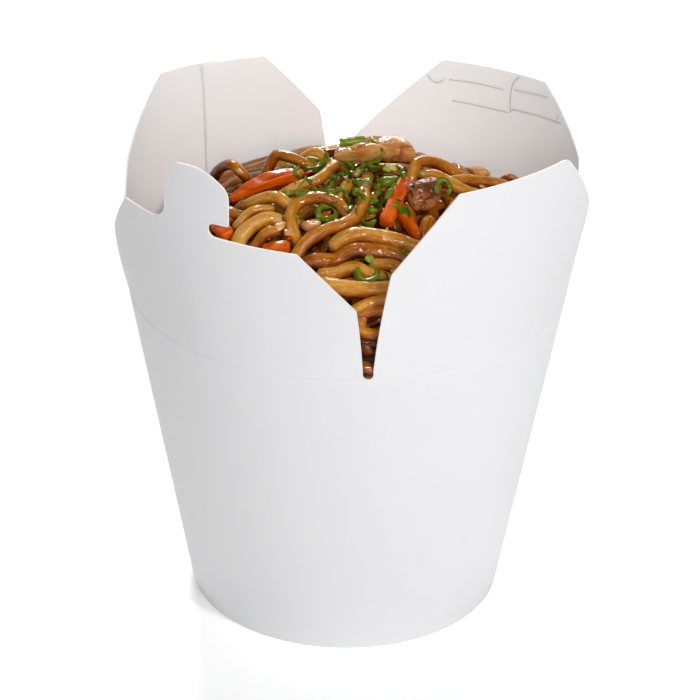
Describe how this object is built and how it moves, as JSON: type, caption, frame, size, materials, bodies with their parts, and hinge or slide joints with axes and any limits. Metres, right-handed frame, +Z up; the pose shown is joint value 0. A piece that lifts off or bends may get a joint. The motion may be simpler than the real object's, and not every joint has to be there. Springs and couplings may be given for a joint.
{
  "type": "noodle takeaway box",
  "caption": "Round-based white paperboard takeaway box, its notched flaps standing open, heaped with stir-fried noodles, chicken pieces, carrot batons and spring onion.",
  "frame": {"origin": "centre of the round foot, on the surface that the box stands on; the cone of the cup is turned about Z", "axes": "+Z up along the cup; +X to the right and -Y to the front, where one of the slits between the flaps lies"},
  "size_m": [0.1206, 0.116, 0.1442],
  "materials": {
    "card": "matt coated white paperboard",
    "noodle": "moist, glossy with brown sauce",
    "chicken": "moist cooked meat, browned in places",
    "carrot": "moist cut carrot"
  },
  "bodies": {
    "box": {"cup_wall": "card", "base_disc": "card", "noodles": "noodle", "chicken_strip": "chicken", "chicken_top": "chicken", "chicken_browned": "chicken", "chicken_right": "chicken", "chicken_left": "chicken", "chicken_front": "chicken", "carrot_left": "carrot", "carrot_upright": "carrot", "carrot_low": "carrot", "carrot_shoulder": "carrot", "carrot_slot": "carrot"},
    "flap_tab_body": {"flap_tab": "card"},
    "flap_plain_body": {"flap_plain": "card"},
    "flap_seamed_body": {"flap_seamed": "card"},
    "flap_slotted_body": {"flap_slotted": "card"}
  },
  "joints": [
    {"name": "flap_tab_fold", "type": "hinge", "parent": "box", "child": "flap_tab_body", "pos_m": [-0.03626, -0.04398, 0.089], "axis": [0.7716, -0.6361, 0], "range_deg": [0, 30]},
    {"name": "flap_plain_fold", "type": "hinge", "parent": "box", "child": "flap_plain_body", "pos_m": [0.04398, -0.03626, 0.089], "axis": [0.6361, 0.7716, 0], "range_deg": [0, 30]},
    {"name": "flap_seamed_fold", "type": "hinge", "parent": "box", "child": "flap_seamed_body", "pos_m": [-0.04398, 0.03626, 0.089], "axis": [-0.6361, -0.7716, 0], "range_deg": [0, 30]},
    {"name": "flap_slotted_fold", "type": "hinge", "parent": "box", "child": "flap_slotted_body", "pos_m": [0.03626, 0.04398, 0.089], "axis": [-0.7716, 0.6361, 0], "range_deg": [0, 30]}
  ]
}
